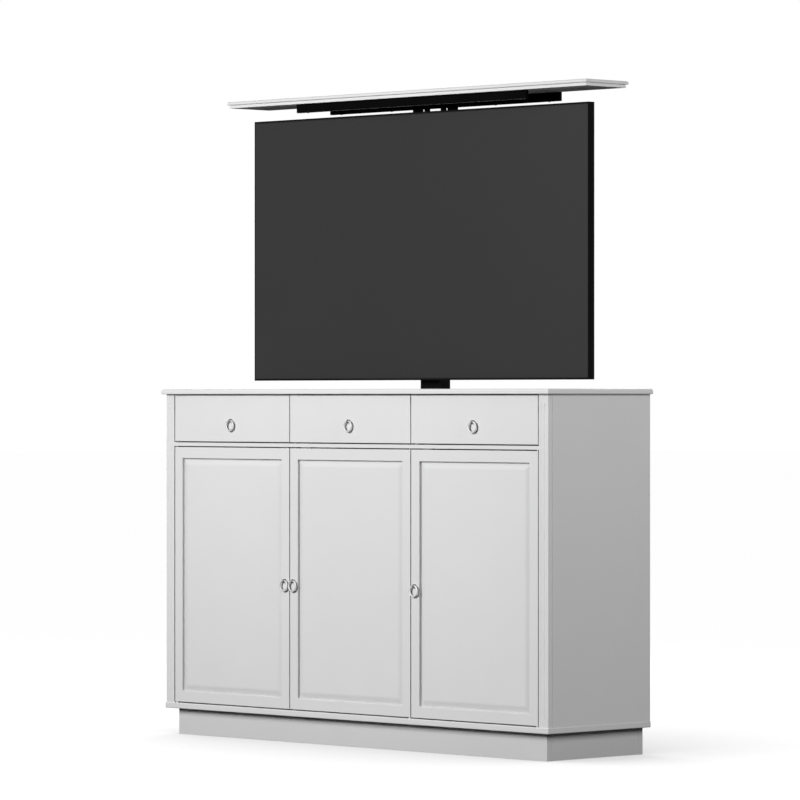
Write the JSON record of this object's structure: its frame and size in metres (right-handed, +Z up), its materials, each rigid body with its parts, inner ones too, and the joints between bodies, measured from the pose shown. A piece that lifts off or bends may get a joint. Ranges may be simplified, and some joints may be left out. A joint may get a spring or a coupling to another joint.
{
  "type": "tv lift cabinet",
  "caption": "White cabinet with drawers over panelled doors and ring pulls; a telescopic column raises a flat screen and the lid out of its top.",
  "frame": {"origin": "on the floor, under the middle of the top board's outline", "axes": "+X to the right seen from the front, +Y to the back, +Z up; the doors face -Y"},
  "size_m": [1.68, 0.44, 1.9714],
  "materials": {
    "white_lacquer": "satin white lacquer sprayed on smooth board",
    "white_board": "matt white melamine board",
    "birch_board": "clear lacquered birch plywood",
    "polished_chrome": "polished chrome",
    "steel": "bright zinc-plated steel",
    "black_steel": "matt black powder coat",
    "black_plastic": "fine-textured black plastic",
    "black_aluminium": "black anodised",
    "dark_glass": "dark matt-coated screen glass, switched off"
  },
  "bodies": {
    "cabinet": {"plinth_front": "white_lacquer", "plinth_back": "white_lacquer", "plinth_returns": "white_lacquer", "bottom_board": "white_lacquer", "top_board": "white_lacquer", "side_left": "white_lacquer", "side_right": "white_lacquer", "post_left": "white_lacquer", "post_right": "white_lacquer", "drawer_deck": "white_lacquer", "lower_dividers": "white_board", "upper_dividers": "white_board", "well_partition": "white_board", "back_panel": "white_board", "shelves": "white_board", "shelf_battens": "white_board", "drawer_guides": "birch_board", "door_pivot_pins": "steel", "door_catches": "black_plastic", "lift_base_plate": "black_steel", "outer_column": "black_steel", "lift_bolts": "steel", "drive_screw": "steel", "lift_motor": "black_steel", "control_box": "black_plastic"},
    "lift_middle": {"middle_column": "black_steel", "screw_tube": "steel"},
    "lift_carriage": {"inner_column": "black_steel", "lift_hanger": "black_steel", "screen_mount_plate": "black_steel", "lid_arms": "black_steel", "lid_rails": "black_steel", "lid": "white_lacquer", "screen_frame": "black_aluminium", "screen_glass": "dark_glass", "screen_back_cover": "black_plastic"},
    "drawer_left": {"drawer_left_front": "white_lacquer", "drawer_left_box": "birch_board", "drawer_left_eye": "polished_chrome"},
    "drawer_ring_left": {"drawer_left_ring": "polished_chrome"},
    "door_left": {"door_left_frame": "white_lacquer", "door_left_panel": "white_lacquer", "door_left_eye": "polished_chrome"},
    "door_ring_left": {"door_left_ring": "polished_chrome"},
    "drawer_middle": {"drawer_middle_front": "white_lacquer", "drawer_middle_box": "birch_board", "drawer_middle_eye": "polished_chrome"},
    "drawer_ring_middle": {"drawer_middle_ring": "polished_chrome"},
    "door_middle": {"door_middle_frame": "white_lacquer", "door_middle_panel": "white_lacquer", "door_middle_eye": "polished_chrome"},
    "door_ring_middle": {"door_middle_ring": "polished_chrome"},
    "drawer_right": {"drawer_right_front": "white_lacquer", "drawer_right_box": "birch_board", "drawer_right_eye": "polished_chrome"},
    "drawer_ring_right": {"drawer_right_ring": "polished_chrome"},
    "door_right": {"door_right_frame": "white_lacquer", "door_right_panel": "white_lacquer", "door_right_eye": "polished_chrome"},
    "door_ring_right": {"door_right_ring": "polished_chrome"}
  },
  "joints": [
    {"name": "lift", "type": "slide", "parent": "cabinet", "child": "lift_carriage", "axis": [0, 0, 1], "range_m": [-0.889, 0]},
    {"name": "lift_middle_stage", "type": "slide", "parent": "cabinet", "child": "lift_middle", "axis": [0, 0, 1], "range_m": [-0.4445, 0]},
    {"name": "drawer_left_slide", "type": "slide", "parent": "cabinet", "child": "drawer_left", "axis": [0, -1, 0], "range_m": [0, 0.13]},
    {"name": "drawer_left_ring_swing", "type": "hinge", "parent": "drawer_left", "child": "drawer_ring_left", "pos_m": [-0.526, -0.2145, 0.975], "axis": [-1, 0, 0], "range_deg": [-5, 90]},
    {"name": "door_left_hinge", "type": "hinge", "parent": "cabinet", "child": "door_left", "pos_m": [-0.78125, -0.203, 0.49705], "axis": [0, 0, -1], "range_deg": [0, 95]},
    {"name": "door_left_ring_swing", "type": "hinge", "parent": "door_left", "child": "door_ring_left", "pos_m": [-0.282, -0.2145, 0.49105], "axis": [-1, 0, 0], "range_deg": [-5, 90]},
    {"name": "drawer_middle_slide", "type": "slide", "parent": "cabinet", "child": "drawer_middle", "axis": [0, -1, 0], "range_m": [0, 0.13]},
    {"name": "drawer_middle_ring_swing", "type": "hinge", "parent": "drawer_middle", "child": "drawer_ring_middle", "pos_m": [0, -0.2145, 0.975], "axis": [-1, 0, 0], "range_deg": [-5, 90]},
    {"name": "door_middle_hinge", "type": "hinge", "parent": "cabinet", "child": "door_middle", "pos_m": [0.25525, -0.203, 0.49705], "axis": [0, 0, 1], "range_deg": [0, 95]},
    {"name": "door_middle_ring_swing", "type": "hinge", "parent": "door_middle", "child": "door_ring_middle", "pos_m": [-0.244, -0.2145, 0.49105], "axis": [-1, 0, 0], "range_deg": [-5, 90]},
    {"name": "drawer_right_slide", "type": "slide", "parent": "cabinet", "child": "drawer_right", "axis": [0, -1, 0], "range_m": [0, 0.13]},
    {"name": "drawer_right_ring_swing", "type": "hinge", "parent": "drawer_right", "child": "drawer_ring_right", "pos_m": [0.526, -0.2145, 0.975], "axis": [-1, 0, 0], "range_deg": [-5, 90]},
    {"name": "door_right_hinge", "type": "hinge", "parent": "cabinet", "child": "door_right", "pos_m": [0.78125, -0.203, 0.49705], "axis": [0, 0, 1], "range_deg": [0, 95]},
    {"name": "door_right_ring_swing", "type": "hinge", "parent": "door_right", "child": "door_ring_right", "pos_m": [0.282, -0.2145, 0.49105], "axis": [-1, 0, 0], "range_deg": [-5, 90]}
  ],
  "couplings": [
    {"joint": "lift_middle_stage", "follows": "lift", "ratio": 0.5}
  ]
}
